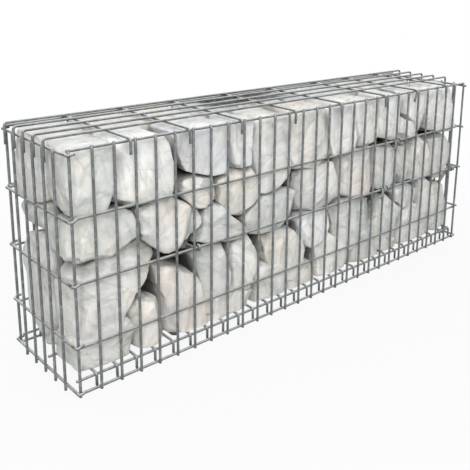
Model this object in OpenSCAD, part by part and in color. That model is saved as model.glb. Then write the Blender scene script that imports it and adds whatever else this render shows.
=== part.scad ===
// Free-standing gabion: a welded wire basket filled with large broken stones.
// X runs along the wall, Y from front to back and Z up; the wires stand on Z = 0.

/* [Basket] */
// Spacing of the upright wires, centre to centre
wire_pitch = 35; // [28:1:45]
// Number of spaces between upright wires along the wall
wire_spaces = 28; // [24:2:34]
// Spacing of the level wires of the front and back panels
rail_pitch = 100; // [85:1:115]
// Height of the lowest row of mesh, which is shorter than the others
foot_row = 75; // [60:1:90]
// Depth from the front uprights to the back uprights
basket_depth = 210; // [190:1:260]
// Thickness of every wire
wire_d = 4.5; // [3.5:0.1:5]
// How far an upright stands out below its lowest rail
upright_stub = 3; // [2.5:0.5:9]

/* [End panels] */
// Gap from the front corner to the first upright of an end panel
end_first_gap = 32; // [28:1:44]
// Spacing of the uprights of an end panel
end_pitch = 33.5; // [28:0.5:36]
// Spacing of the level wires of an end panel
end_rail_pitch = 97; // [80:1:110]
// How far the highest end rail hangs below the highest front rail
end_drop = 5; // [4.8:0.2:9]
// How far a rail end turns around the corner upright, in degrees
hook_turn = 150; // [90:5:170]

/* [Lid and base] */
// How far in front of an end upright each long wire of the lid comes down
lid_offset = 8.5; // [6:0.5:12]
// Length of the lid's tails over the front and back
lid_tail = 24; // [15:1:40]
// Length of the lid's tails over the ends
lid_end_tail = 34; // [15:1:45]
// Radius of the bends of the lid and base, along the middle of the wire
lid_bend = 5; // [4.8:0.2:8]
// Height of the base's long wires above the lowest rails
base_rise = 17; // [12:1:24]
// Greatest spacing of the long wires of the base
base_pitch = 95; // [80:1:120]

/* [Stones] */
// Gap left between stones that bear on each other
stone_gap = 0.3; // [0.2:0.1:1]
// Clear space between the stones and the mesh
mesh_gap = 0.4; // [0.3:0.1:2]
// Most that a front stone swells past its outline, up to its neighbours
stone_growth = 2.4; // [0:0.1:4]
// Depth of the front layer of stones
front_layer = 96; // [80:1:110]
// Free space left at each end of the back layer
back_end_gap = 4; // [2:1:40]

/* [Hidden] */

galvanised = "#8a9190";
limestone = "#d9d4cb";

wire_sides = 8;
bend_steps = 32;
hook_lengths = 3;
wire_r = wire_d / 2;
// Step between two welded wires, and rise of a hook's lengths, as shares of the wire
weld_step_share = 0.8;
hook_rise_share = 0.15;
weld_step = weld_step_share * wire_d;
hook_rise = hook_rise_share * wire_d;
wall_length = wire_pitch * wire_spaces;
rail_rows = 3;
panel_height = foot_row + rail_rows * rail_pitch;
half_length = wall_length / 2;
half_depth = basket_depth / 2;
rail_levels = [upright_stub, for (k = [0:rail_rows]) upright_stub + foot_row + k * rail_pitch];
top_rail = rail_levels[rail_rows + 1];
upright_height = upright_stub + panel_height + wire_d;

end_top_rail = top_rail - end_drop;
end_rail_levels = [rail_levels[0] + wire_d, for (k = [rail_rows:-1:0]) end_top_rail - k * end_rail_pitch];
end_uprights = 5;
// As many long wires of the lid as the depth takes, from the second end upright on
lid_first_gap = end_first_gap + end_pitch - lid_offset;
lid_wires = 1 + floor((basket_depth - lid_first_gap) / end_pitch);

// Places of the lid's cross wires, in upright spaces from the left end
lid_cross_shares = [2.7, 5.7, 8.75, 12.3, 15.75, 19.6, 22.65, 25.75];
// Place of the base's cross wires between two uprights
base_cross_share = 0.9;
// Ties: place along the wall in upright spaces, and the rail they hang from
tie_shares = [[6.3, 2], [20.5, 2], [21.45, 3], [27.4, 2]];

cross_z = top_rail + wire_d;
lid_z = cross_z + weld_step;
base_z = rail_levels[0] + base_rise;
base_cross_z = base_z + weld_step;
end_rail_x = half_length + wire_d;
end_upright_x = end_rail_x + weld_step;
lid_end_x = end_rail_x + wire_d + mesh_gap;
rail_y = half_depth - weld_step;
lid_tail_y = half_depth + wire_d + mesh_gap / 2;
base_tail_y = rail_y - wire_d - mesh_gap;
base_edge_y = base_tail_y - weld_step;
base_rows = ceil(2 * base_edge_y / base_pitch);

// Stones of the front layer, as outlines on the face of the wall: each point is a place along the
// wall from the left, in parts of 98, and down from the highest rail, in parts of 37.5
face_parts_shares = [98, 37.5];
top_outline_shares = [
    [[0.8, 0.6], [8.3, 0.4], [7.6, 10.3], [1.8, 10.7], [0.8, 9.5]],
    [[8.4, 0.4], [15.6, 0.4], [18.8, 5.5], [18.8, 7.6], [17.8, 10.6], [9, 10.8], [7.7, 10.3]],
    [[15.8, 0.4], [29.8, 0.4], [30, 6], [29.9, 9], [26.3, 8.87], [19.3, 6.66]],
    [[30.2, 0.4], [34.5, 0.4], [35.8, 8.57], [30.1, 9.02]],
    [[34.7, 0.4], [43.8, 0.4], [44.1, 5.5], [44.1, 10.5], [42.8, 13.2], [39.6, 14.8], [37, 15]],
    [[44.1, 0.4], [55.4, 0.4], [55.5, 10], [50.2, 11.88], [46.8, 10.6], [44.3, 8.5]],
    [[55.6, 0.4], [62.8, 0.4], [62.8, 6], [62.4, 9.8], [60, 10.63], [55.8, 10.9]],
    [[63, 0.4], [69.4, 0.4], [69.5, 6], [69.2, 8.7], [66, 10.4], [62.9, 10.3]],
    [[69.6, 0.4], [76.6, 0.4], [76.7, 9.7], [74, 9.8], [69.6, 8.8]],
    [[76.9, 3.4], [83.8, 9.4], [82.2, 10.6], [77, 10.8]],
    [[77, 0.5], [87.6, 0.4], [87.9, 9.8], [84.2, 9.2], [77.2, 3.1]],
    [[87.8, 0.4], [95, 0.4], [97, 1.5], [97, 9.8], [94, 10.7], [90.5, 10.6], [88.2, 9]]
];
upper_outline_shares = [
    [[0.8, 10.8], [9.2, 10.9], [11.7, 14], [11.8, 15], [10.4, 16], [7, 17.6], [3.5, 18.8], [0.8, 18.2]],
    [[12.2, 11], [17.9, 10.8], [21.4, 12.9], [22, 14.7], [21.3, 16.4], [19.6, 19.5], [18, 19.6],
        [12.1, 16.3]],
    [[19.2, 6.7], [26.2, 8.9], [26.7, 11], [25.8, 13], [24, 14.2], [22, 13.1], [18.1, 10.6]],
    [[22.7, 14.2], [24.4, 14.4], [24.7, 15.6], [23.8, 17.4], [22.2, 18.6], [20.9, 18.6]],
    [[26.9, 9.3], [35.8, 8.6], [36.8, 14.7], [34.6, 16.6], [30.8, 16.9], [28.6, 14.5], [26.9, 11.2]],
    [[25.9, 13.4], [26.7, 12.6], [33.2, 20.2], [33.1, 21.3], [24.6, 21.3], [23, 20.2]],
    [[34.7, 18.4], [35.2, 16.8], [37, 15], [39.6, 14.8], [44.4, 14.9], [46.2, 17.4], [46.6, 20.8], [45, 22.2],
        [40, 22.4], [35.3, 21.2]],
    [[46.8, 14], [48.6, 12.2], [55.2, 10.9], [57.2, 17], [57, 19.6], [52, 20.8], [47.5, 19.6], [46.5, 17.6]],
    [[55.8, 10.9], [62.2, 10.5], [68.8, 10.6], [69.3, 15], [69, 20.6], [65, 20.6], [61, 19.8], [57.6, 16.6]],
    [[69.5, 9.1], [73.8, 10.1], [76.2, 14], [76.5, 19.5], [69.5, 19.2]],
    [[76.8, 14], [79, 11.2], [80, 11.1], [80.1, 20.6], [76.8, 20.5]],
    [[80.3, 11.1], [83.8, 10.4], [87, 12.6], [90.2, 19], [89.5, 20.6], [80.3, 20.8]],
    [[87.2, 10.2], [90.4, 10.9], [94.5, 13], [97, 15.5], [97, 17.5], [94.6, 20.4], [90.9, 20.8]]
];
lower_outline_shares = [
    [[0.8, 21.4], [3.5, 19.1], [10.5, 16.2], [12.2, 16.8], [14.5, 19.5], [14.8, 20.5], [13.5, 22.2],
        [10, 26.1], [6, 28.6], [2.5, 28.4], [0.8, 26.8]],
    [[13.4, 23.8], [15.5, 22.2], [18.8, 21.5], [21.2, 24.2], [23.2, 27], [24.6, 33.4], [22.5, 33.7],
        [19.5, 32.5], [16.5, 28.6]],
    [[20.9, 21.7], [29.8, 21.6], [30, 28.5], [29.5, 30], [24.9, 30]],
    [[30.1, 21.7], [34.5, 21.7], [37, 26.1], [35.5, 27.8], [34, 28.3], [30.2, 27.5]],
    [[35.9, 22.2], [45.2, 22.9], [48.2, 25.8], [51.4, 31], [45, 29.7], [39.8, 28], [37.6, 25.6]],
    [[45.6, 22.6], [47.6, 20.9], [55.3, 20.9], [56, 25], [54.5, 26.2], [51.5, 26.8], [49.5, 26.8],
        [48.2, 25.6]],
    [[55.6, 20.8], [57.2, 20.4], [69, 20.9], [69.2, 27], [66, 28], [62.5, 28.5], [59, 28.2], [56.2, 25.5]],
    [[69.6, 23.2], [70.5, 23.2], [76.5, 24.4], [78.8, 25.9], [78.3, 30], [74, 31], [70.2, 30.8]],
    [[76.8, 21], [83.7, 21], [85.4, 26.2], [80, 26.1], [76.8, 23.8]],
    [[84, 20.9], [87, 20.9], [90.4, 23.2], [90.5, 29.8], [87, 29.8]],
    [[90.7, 23.2], [94.5, 24.3], [97, 29.2], [96.5, 30.6], [94, 32], [90.7, 31.2]]
];
bottom_outline_shares = [
    [[0.8, 33], [2, 31], [6, 29], [9.3, 30], [11.5, 33], [12.1, 35], [11.8, 36.4], [6, 37], [2.5, 36.6],
        [0.8, 34.6]],
    [[10, 26.4], [11.8, 24.7], [13.8, 25.5], [15.8, 29.5], [18.2, 34.5], [17, 36.4], [13, 37]],
    [[24.9, 33.6], [25, 30.4], [34.5, 29.9], [35.8, 31.5], [35, 34], [30, 37], [26.5, 37]],
    [[36, 28.4], [37, 27.1], [44.8, 30.5], [44, 32.5], [43, 34.2], [40, 35.4], [37, 35], [36, 32]],
    [[45.5, 30.3], [50.5, 31.2], [51.5, 32.5], [52.5, 36], [49, 37], [45, 37], [42.8, 35.6]],
    [[50.4, 28.4], [51.2, 27.2], [54.8, 26.6], [56.2, 27], [62.5, 30], [62.5, 34], [60.5, 37], [56, 37],
        [53.5, 34]],
    [[62.8, 29.8], [66, 28.5], [68.6, 28.3], [71.6, 34.4], [71.4, 37], [64, 37], [62.8, 34.5]],
    [[70.4, 31.3], [76.5, 31.1], [77, 34.5], [74, 37]],
    [[79.9, 26.5], [85.6, 26.6], [86.4, 29.8], [85.2, 33], [83.8, 34.5], [80, 33.5], [78.4, 31.6]],
    [[87.1, 30.1], [93.5, 32.7], [90.5, 35.5], [87, 37], [84.6, 35]]
];

// Rings of a front stone from its face to its back: depth as a share of the layer, and size as a
// share of the outline
ring_depth_shares = [0, 0.05, 0.16, 0.7, 1];
ring_size_shares = [0.93, 0.985, 1, 0.96, 0.68];
// Mean setback of a stone's leaning face as a share of the layer, in the courses and at the foot
face_lean_share = 0.08;
foot_lean_share = 0.06;
// Most that a stone's corners are drawn in, as a share of its size
corner_wear_share = 0.07;
// Most that a stone's face lies to one side, as a share of its size
face_shift_share = 0.06;

// Lean of the faces in the courses from the top down; a fall of -1 leans them back towards the foot
course_lean_shares = [face_lean_share, face_lean_share, face_lean_share, foot_lean_share];
course_fall_shares = [0, 0, 0, -1];
// Shortest edge that is kept on a stone's outline
least_edge = 1;

// The back layer stands in courses of stones, each course set off from the one below it
back_columns = 9;
course_offset_share = 0.2;
course_level_shares = [0.125, 0.37, 0.62, 0.87];
// Most that a stone's site strays along the wall, in depth and in height
site_along_share = 0.15;
site_depth_share = 0.075;
site_lift_share = 0.1;
stone_points = 84;
// Top of the back layer in each column, as a share of the basket's height
back_top_shares = [0.95, 0.98, 0.97, 0.98, 0.97, 0.98, 0.96, 0.98, 0.94];
// Least height of a stone above its site, as a share of the rail spacing
stone_rise_share = 0.2;
// Furthest that a stone reaches from its site, as a share of the front layer
stone_reach_share = 0.9;
stone_reach = stone_reach_share * front_layer;
// Stones bear on each other within this many columns, on faces that slope at least this much
near_columns = 3;
least_slope_share = 0.01;

bays = 4;
back_bays = 2;
golden_turn = 137.508;

front_face = -rail_y + wire_r + mesh_gap;
back_front = front_face + front_layer + stone_gap;
back_face = rail_y - wire_r - mesh_gap;
fill_floor = base_cross_z + wire_r + mesh_gap;
fill_roof = cross_z - wire_r - mesh_gap;

// A value between 0 and 1 that looks random but is the same each time
function chance(seed) = let (v = 43758.5453 * sin(seed * 78.233 + 12.9898)) v - floor(v);
// The same, between -1 and 1
function spread(seed) = 2 * chance(seed) - 1;
function total(list, i = 0) = i == len(list) - 1 ? list[i] : list[i] + total(list, i + 1);
function mean(list) = total(list) / len(list);

// Wires

module wire_z(x, y, low, high) {
    translate([x, y, low])
        cylinder(d = wire_d, h = high - low, $fn = wire_sides);
}

module wire_x(y, z, left, right) {
    translate([left, y, z])
        rotate([0, 90, 0])
            cylinder(d = wire_d, h = right - left, $fn = wire_sides);
}

module wire_y(x, z, front, back) {
    translate([x, front, z])
        rotate([-90, 0, 0])
            cylinder(d = wire_d, h = back - front, $fn = wire_sides);
}

// Bend in the XY plane about the origin, starting on +X
module wire_bend(radius, turn) {
    rotate_extrude(angle = turn, $fn = bend_steps)
        translate([radius, 0])
            circle(d = wire_d, $fn = wire_sides);
}

// Wire along X, centred, with both ends bent down
module bent_wire(reach, tail) {
    wire_x(0, 0, -reach + lid_bend, reach - lid_bend);
    for (side = [0, 1])
        mirror([side, 0, 0]) {
            translate([-reach + lid_bend, 0, -lid_bend])
                rotate([90, 0, 0])
                    rotate([0, 0, 90])
                        wire_bend(lid_bend, 90);
            wire_z(-reach, 0, -tail, -lid_bend);
        }
}

// Rising hook about the Z axis, as short straight lengths, starting on +X
module wire_hook(radius, turn) {
    half = turn / hook_lengths / 2;
    run = radius * sin(half) + wire_r * tan(half);
    for (i = [0:hook_lengths - 1])
        rotate([0, 0, (2 * i + 1) * half])
            wire_y(radius * cos(half), (i + 1) * hook_rise, -run, run);
}

module long_panel(rail_side) {
    for (i = [0:wire_spaces])
        wire_z(-half_length + i * wire_pitch, rail_side * half_depth, 0, upright_height);
    for (z = rail_levels)
        wire_x(rail_side * rail_y, z, -half_length, half_length);
}

module front_panel() {
    color(galvanised)
        long_panel(-1);
}

module back_panel() {
    color(galvanised)
        long_panel(1);
}

// End panel on the left (side -1) or right (side 1), with hooks that start at the given angles
module end_panel(side, front_hook, back_hook) {
    for (k = [0:end_uprights - 1])
        wire_z(side * end_upright_x, -half_depth + end_first_gap + k * end_pitch, 0, end_top_rail + wire_d);
    for (z = end_rail_levels) {
        wire_y(side * end_rail_x, z, -half_depth, half_depth);
        translate([side * half_length, -half_depth, z])
            rotate([0, 0, front_hook])
                wire_hook(wire_d, hook_turn);
        translate([side * half_length, half_depth, z])
            rotate([0, 0, back_hook])
                wire_hook(wire_d, hook_turn);
    }
}

module left_end_panel() {
    color(galvanised)
        end_panel(-1, 180, 180 - hook_turn);
}

module right_end_panel() {
    color(galvanised)
        end_panel(1, -hook_turn, 0);
}

module base_panel() {
    color(galvanised) {
        for (i = [0:wire_spaces - 1])
            translate([-half_length + (i + base_cross_share) * wire_pitch, 0, base_cross_z])
                rotate([0, 0, 90])
                    bent_wire(base_tail_y, base_cross_z - rail_levels[0]);
        for (k = [0:base_rows])
            wire_x(base_edge_y * (2 * k / base_rows - 1), base_z, -half_length, half_length);
    }
}

module lid_panel() {
    color(galvanised) {
        for (k = [0:lid_wires - 1])
            translate([0, -half_depth + lid_first_gap + k * end_pitch, lid_z])
                bent_wire(lid_end_x, lid_end_tail);
        for (share = lid_cross_shares)
            translate([-half_length + share * wire_pitch, 0, cross_z])
                rotate([0, 0, 90])
                    bent_wire(lid_tail_y, lid_tail);
    }
}

function tie_place(i) =
    [-half_length + tie_shares[i][0] * wire_pitch, rail_levels[tie_shares[i][1]] - wire_d];

module tie_wire(i) {
    place = tie_place(i);
    color(galvanised) {
        wire_y(place.x, place.y, -rail_y, rail_y);
        for (side = [0, 1])
            mirror([0, side, 0])
                translate([place.x, -rail_y, place.y + wire_d])
                    rotate([0, -90, 0])
                        rotate([0, 0, 180])
                            wire_bend(wire_d, hook_turn);
    }
}

// Stones

module stone(points) {
    spare = len(points) % 3;
    faces = [
        [for (i = [0:spare + 2]) i],
        for (i = [spare + 3:3:len(points) - 3])
            [i, i + 1, i + 2]
    ];
    color(limestone)
        hull()
            polyhedron(points = points, faces = faces);
}

function face_point(p) = [
    -half_length + p.x * wall_length / face_parts_shares.x,
    top_rail - p.y * panel_height / face_parts_shares.y
];

courses = [top_outline_shares, upper_outline_shares, lower_outline_shares, bottom_outline_shares];
course_firsts = [for (c = [0:len(courses)]) c == 0 ? 0 : total([for (k = [0:c - 1]) len(courses[k])])];
front_outlines = [for (course = courses, outline = course) [for (p = outline) face_point(p)]];
face_reach = half_length - wire_r - mesh_gap;
face_corners = [
    [-face_reach, fill_floor], [-face_reach, fill_roof], [face_reach, fill_roof], [face_reach, fill_floor]
];

// Lines are a direction and how far along it they lie
function reach_along(points, way) = max([for (p = points) p * way]);

function edge_ways(points) = [
    for (i = [0:len(points) - 1])
        let (d = points[(i + 1) % len(points)] - points[i])
        [-d.y, d.x] / norm(d)
];

// The widest room between two outlines, and the way along which it lies
function widest_room(a, b) =
    let (
        ways = concat(edge_ways(a), -edge_ways(b)),
        rooms = [for (way = ways) -reach_along(b, -way) - reach_along(a, way)],
        most = max(rooms)
    )
    [most, ways[search(most, rooms)[0]]];

// The line halfway between two outlines, as one stone meets it
function bearing_line(i, j) =
    let (
        room = widest_room(front_outlines[min(i, j)], front_outlines[max(i, j)]),
        way = i < j ? room[1] : -room[1]
    )
    [way, reach_along(front_outlines[i], way) + (room[0] - stone_gap) / 2];

function cut_by(points, line) = [
    for (k = [0:len(points) - 1])
        let (
            p = points[k],
            q = points[(k + 1) % len(points)],
            over = [p * line[0] - line[1], q * line[0] - line[1]]
        )
        each concat(
            over[0] <= 0 ? [p] : [],
            over[0] * over[1] < 0 ? [p + (q - p) * over[0] / (over[0] - over[1])] : []
        )
];

function cut_by_all(points, lines, k = 0) =
    k == len(lines) ? points : cut_by_all(cut_by(points, lines[k]), lines, k + 1);

// An outline swollen until it bears on its neighbours
function swollen(i) =
    let (
        outline = front_outlines[i],
        own = [for (way = edge_ways(outline)) [way, reach_along(outline, way) + stone_growth]],
        bearings = [for (j = [0:len(front_outlines) - 1]) if (j != i) bearing_line(i, j)],
        points = cut_by_all(face_corners, concat(own, bearings))
    )
    [
        for (k = [0:len(points) - 1])
            if (norm(points[(k + 1) % len(points)] - points[k]) > least_edge)
                points[k]
    ];

function front_stone_points(i, seed, lean_share, fall) =
    let (
        corners = swollen(i),
        middle = mean(corners),
        half = [for (k = [0, 1]) max([for (c = corners) abs(c[k] - middle[k])])],
        shift = face_shift_share * [spread(seed + 1) * half.x, spread(seed + 2) * half.y],
        tilt = [spread(seed + 3) / 2, fall == 0 ? spread(seed + 4) / 2 : fall]
    )
    [
        for (r = [0:len(ring_depth_shares) - 1], k = [0:len(corners) - 1])
            let (
                edge = r == 0 || r == len(ring_depth_shares) - 1,
                wear = r == 2 ? 0 : corner_wear_share * chance(seed + 7 * k + 31 * r),
                arm = corners[k] - middle,
                place = middle + arm * ring_size_shares[r] * (1 - wear) + (edge ? shift : [0, 0]),
                setback = lean_share * (1 + tilt.x * arm.x / half.x + tilt.y * arm.y / half.y),
                depth = max(0, setback) * (1 - ring_depth_shares[r]) + ring_depth_shares[r]
            )
            [place.x, front_face + depth * front_layer, place.y]
    ];

function bay_of(outline) = floor(bays * (mean(outline).x + half_length) / wall_length);

module front_stones(course, bay) {
    first = course_firsts[course];
    for (i = [first:course_firsts[course + 1] - 1])
        if (bay_of(front_outlines[i]) == bay - 1) {
            seed = 100 + 300 * course + 17 * (i - first);
            stone(front_stone_points(i, seed, course_lean_shares[course], course_fall_shares[course]));
        }
}

column_width = (wall_length - 2 * back_end_gap) / back_columns;
layer_middle = (back_front + back_face) / 2;

function back_site(course, column) =
    let (
        seed = 101 * course + 13 * column,
        offset = course_offset_share * (course % 2 == 0 ? 1 : -1),
        along = column + 1 / 2 + offset + site_along_share * spread(seed),
        deep = site_depth_share * spread(seed + 1),
        lift = site_lift_share * spread(seed + 2)
    )
    [
        -half_length + back_end_gap + column_width * along,
        layer_middle + deep * (back_face - back_front),
        fill_floor + (fill_roof - fill_floor) * course_level_shares[course] + lift * rail_pitch
    ];

back_sites = [for (c = [0:len(course_level_shares) - 1], k = [0:back_columns - 1]) back_site(c, k)];

// Planes that bound a stone, as a direction and the distance from its site
function bearing_planes(site) = [
    for (other = back_sites)
        let (gap = norm(other - site))
        if (gap > 0 && gap < near_columns * column_width)
            [(other - site) / gap, gap / 2 - stone_gap / 2]
];

function basket_planes(site, column) = [
    [[-1, 0, 0], site.x + half_length - back_end_gap],
    [[1, 0, 0], half_length - back_end_gap - site.x],
    [[0, -1, 0], site.y - back_front],
    [[0, 1, 0], back_face - site.y],
    [[0, 0, -1], site.z - fill_floor],
    [[0, 0, 1], min(fill_roof, upright_height * back_top_shares[column]) - site.z]
];

function tie_planes(site) = [
    for (i = [0:len(tie_shares) - 1])
        let (
            place = tie_place(i),
            away = [place.x - site.x, 0, place.y - site.z],
            gap = norm(away)
        )
        if (gap < near_columns * column_width)
            [away / gap, gap - wire_r - mesh_gap]
];

function reach(direction, planes) = min([
    stone_reach,
    for (p = planes)
        if (direction * p[0] > least_slope_share)
            p[1] / (direction * p[0])
]);

function sphere_direction(i) =
    let (z = 1 - (2 * i + 1) / stone_points, r = sqrt(1 - z * z))
    [r * cos(i * golden_turn), r * sin(i * golden_turn), z];

function back_stone_points(course, column) =
    let (
        site = back_sites[course * back_columns + column],
        planes = concat(bearing_planes(site), basket_planes(site, column), tie_planes(site)),
        bearings = [for (p = planes) if (p[1] < stone_reach) p[0]]
    )
    [
        for (d = concat([for (i = [0:stone_points - 1]) sphere_direction(i)], bearings))
            site + d * reach(d, planes)
    ];

function back_bay_of(column) = floor(back_bays * (column + 1 / 2) / back_columns);

// Whether a stone of the course fits under the top of its column
function fits(course, column) =
    back_sites[course * back_columns + column].z + stone_rise_share * rail_pitch
        < upright_height * back_top_shares[column];

module back_stones(course, bay) {
    for (k = [0:back_columns - 1])
        if (back_bay_of(k) == bay - 1 && fits(course, k))
            stone(back_stone_points(course, k));
}

front_panel();
back_panel();
left_end_panel();
right_end_panel();
base_panel();
lid_panel();
for (i = [1:len(tie_shares)])
    tie_wire(i - 1);
for (i = [1:bays]) {
    front_stones(0, i);
    front_stones(1, i);
    front_stones(2, i);
    front_stones(3, i);
}
for (i = [1:back_bays]) {
    back_stones(3, i);
    back_stones(2, i);
    back_stones(1, i);
    back_stones(0, i);
}
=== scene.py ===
"""Looks of a free-standing gabion: a welded wire basket filled with large broken stones.

Everything is in metres in the frame's axes: X along the wall, Y from front to back, Z up.
"""

import math

import bpy
import numpy as np
from mathutils import Matrix, Vector


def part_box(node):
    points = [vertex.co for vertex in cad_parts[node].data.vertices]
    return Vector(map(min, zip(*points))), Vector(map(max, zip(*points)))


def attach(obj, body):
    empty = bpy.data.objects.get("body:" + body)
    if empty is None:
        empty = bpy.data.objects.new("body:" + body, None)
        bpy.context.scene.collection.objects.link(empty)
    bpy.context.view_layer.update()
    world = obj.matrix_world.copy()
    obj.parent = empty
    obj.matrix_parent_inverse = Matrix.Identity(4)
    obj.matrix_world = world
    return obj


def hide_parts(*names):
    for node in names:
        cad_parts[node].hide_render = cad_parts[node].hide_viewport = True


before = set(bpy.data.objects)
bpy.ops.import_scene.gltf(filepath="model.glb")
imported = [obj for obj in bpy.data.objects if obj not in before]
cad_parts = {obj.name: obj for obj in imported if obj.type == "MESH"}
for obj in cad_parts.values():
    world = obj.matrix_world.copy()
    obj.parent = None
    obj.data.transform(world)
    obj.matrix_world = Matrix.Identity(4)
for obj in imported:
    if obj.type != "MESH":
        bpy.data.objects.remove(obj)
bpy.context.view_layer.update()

MM = 0.001

# Basket: sizes that follow the frame, and the spacing of its rails
tie_low, tie_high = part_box("tie_wire_1")
WIRE_D = tie_high.x - tie_low.x
WIRE_R = WIRE_D / 2
WELD_STEP = 0.8 * WIRE_D
WIRE_SPACES = 28
RAIL_PITCH = 100 * MM
FOOT_ROW = 75 * MM
front_low, front_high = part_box("front_panel")
HALF_LENGTH = front_high.x - WIRE_R
HALF_DEPTH = -front_low.y - WIRE_R
UPRIGHT_TOP = front_high.z
PITCH = 2 * HALF_LENGTH / WIRE_SPACES
RAIL_Y = HALF_DEPTH - WELD_STEP
TOP_RAIL = UPRIGHT_TOP - WIRE_D
RAIL_LEVELS = [TOP_RAIL - k * RAIL_PITCH for k in (3, 2, 1, 0)]
RAIL_LEVELS.insert(0, RAIL_LEVELS[0] - FOOT_ROW)

# End panels
END_RAIL_X = HALF_LENGTH + WIRE_D
END_UPRIGHT_X = END_RAIL_X + WELD_STEP
END_RAIL_PITCH = 97 * MM
END_TOP_RAIL = TOP_RAIL - 5 * MM
END_RAIL_LEVELS = [RAIL_LEVELS[0] + WIRE_D] + [END_TOP_RAIL - k * END_RAIL_PITCH for k in (3, 2, 1, 0)]
END_FIRST_GAP = 32 * MM
END_PITCH = 33.5 * MM
END_UPRIGHTS = 5
END_TOP = END_TOP_RAIL + WIRE_D
HOOK_TURN = math.radians(112)
HOOK_RADIUS = 1.06 * WIRE_D
HOOK_TIP = 6 * MM
HOOK_RISES = [1 * MM, 4 * MM, 3 * MM, 3.5 * MM, 1 * MM]

# Lid and base
lid_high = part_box("lid_panel")[1]
LID_Z = lid_high.z - WIRE_R
LID_CROSS_Z = LID_Z - WELD_STEP
LID_END_X = lid_high.x - WIRE_R
LID_TAIL_Y = lid_high.y - WIRE_R
LID_OFFSET = 8.5 * MM
LID_FIRST_GAP = END_FIRST_GAP + END_PITCH - LID_OFFSET
LID_WIRES = 5
LID_END_TAIL = 34 * MM
LID_TAIL = 24 * MM
BEND_RADIUS = 5 * MM
LID_CROSS_SHARES = [2.7, 5.7, 8.75, 12.3, 15.75, 19.6, 22.65, 25.75]
LID_SLANTS = [0, 1 * MM, -1 * MM, 0, 2 * MM, 1 * MM, -8 * MM, 0]
base_low, base_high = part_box("base_panel")
BASE_CROSS_Z = base_high.z - WIRE_R
BASE_Z = BASE_CROSS_Z - WELD_STEP
BASE_TAIL = BASE_CROSS_Z - base_low.z
BASE_TAIL_Y = base_high.y - WIRE_R
BASE_EDGE_Y = BASE_TAIL_Y - WELD_STEP
BASE_WIRES = 3
BASE_CROSS_SHARE = 0.9

# Ties: place along the wall in upright spaces, the rail they hang from, and turns of binding wire there
TIES = [(6.3, 2, 0), (20.5, 2, 3), (21.45, 3, 2), (27.4, 2, 0)]
TIE_TURN = math.radians(200)

# Stones: the tint of each one, from left to right in each group
FRONT_TINTS = {
    "top_stones_1": ("grey", "white"),
    "top_stones_2": ("cool", "cool", "pale"),
    "top_stones_3": ("warm", "white", "pale", "white"),
    "top_stones_4": ("pale", "white", "white"),
    "upper_stones_1": ("grey", "pale", "grey", "warm"),
    "upper_stones_2": ("grey", "warm", "grey"),
    "upper_stones_3": ("pale", "pink", "grey"),
    "upper_stones_4": ("grey", "pale", "grey"),
    "lower_stones_1": ("pale", "pink"),
    "lower_stones_2": ("grey", "pale", "warm"),
    "lower_stones_3": ("white", "grey"),
    "lower_stones_4": ("grey", "cool", "pale", "grey"),
    "bottom_stones_1": ("grey", "warm"),
    "bottom_stones_2": ("warm", "pale", "warm"),
    "bottom_stones_3": ("pale", "grey"),
    "bottom_stones_4": ("grey", "pale", "grey"),
}
BACK_TINTS = {
    "back_top_stones_1": ("pale", "pink", "warm", "grey"),
    "back_top_stones_2": ("grey", "cool", "pale", "white", "cool"),
    "back_upper_stones_1": ("grey", "pale", "warm", "white"),
    "back_upper_stones_2": ("cool", "pale", "grey", "pink", "pale"),
    "back_lower_stones_1": ("pale", "white", "grey", "pale"),
    "back_lower_stones_2": ("warm", "grey", "pale", "white", "grey"),
    "back_bottom_stones_1": ("grey", "pale", "pink", "cool"),
    "back_bottom_stones_2": ("pale", "warm", "white", "grey", "pale"),
}
TINTS = {
    "white": (229, 229, 226),
    "pale": (222, 221, 217),
    "cool": (216, 217, 217),
    "grey": (210, 211, 207),
    "warm": (222, 219, 213),
    "pink": (221, 216, 211),
}
TINT_VARIES = (0.97, 1.03)
STAIN = (207, 192, 175)
# Darker patch on the top of the back layer: its colour, middle, span along the wall, edge towards the back,
# depth from the top and unevenness
DARK_PATCH = (50, 50, 47)
DARK_PATCH_MIDDLE = -40 * MM
DARK_PATCH_SPAN = (70 * MM, 115 * MM)
DARK_PATCH_EDGE = (8 * MM, 34 * MM)
DARK_PATCH_DEPTH = (16 * MM, 50 * MM)
DARK_PATCH_UNEVEN = 30 * MM


def linear(colour):
    """A colour as seen on a screen, from 0 to 255, as linear light."""
    c = np.asarray(colour, float) / 255
    return np.where(c <= 0.04045, c / 12.92, ((c + 0.055) / 1.055) ** 2.4)


# Noise

HASH_STEPS = (374761393, 668265263, 1442695041)
HASH_SEED_STEP = 974634533
HASH_SEED_LIMIT = 1 << 40
HASH_MIXES = ((15, 2246822519), (13, 3266489917))
HASH_LAST_SHIFT = 16
HASH_BITS = 0xFFFF
CELL_OFFSET = 4096
NOISE_GAIN = 1.4
OCTAVE_STEP = 2.03
OCTAVE_FALLOFF = 0.5


def hashed(cells, seed):
    """A repeatable value between -1 and 1 for each whole-numbered cell."""
    x, y, z = (cells[:, k].astype(np.uint64) * np.uint64(step) for k, step in enumerate(HASH_STEPS))
    h = x + y + z + np.uint64(seed * HASH_SEED_STEP % HASH_SEED_LIMIT)
    for shift, factor in HASH_MIXES:
        h = (h ^ (h >> np.uint64(shift))) * np.uint64(factor)
    h = h ^ (h >> np.uint64(HASH_LAST_SHIFT))
    return (h & np.uint64(HASH_BITS)).astype(float) / (HASH_BITS / 2) - 1


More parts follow.
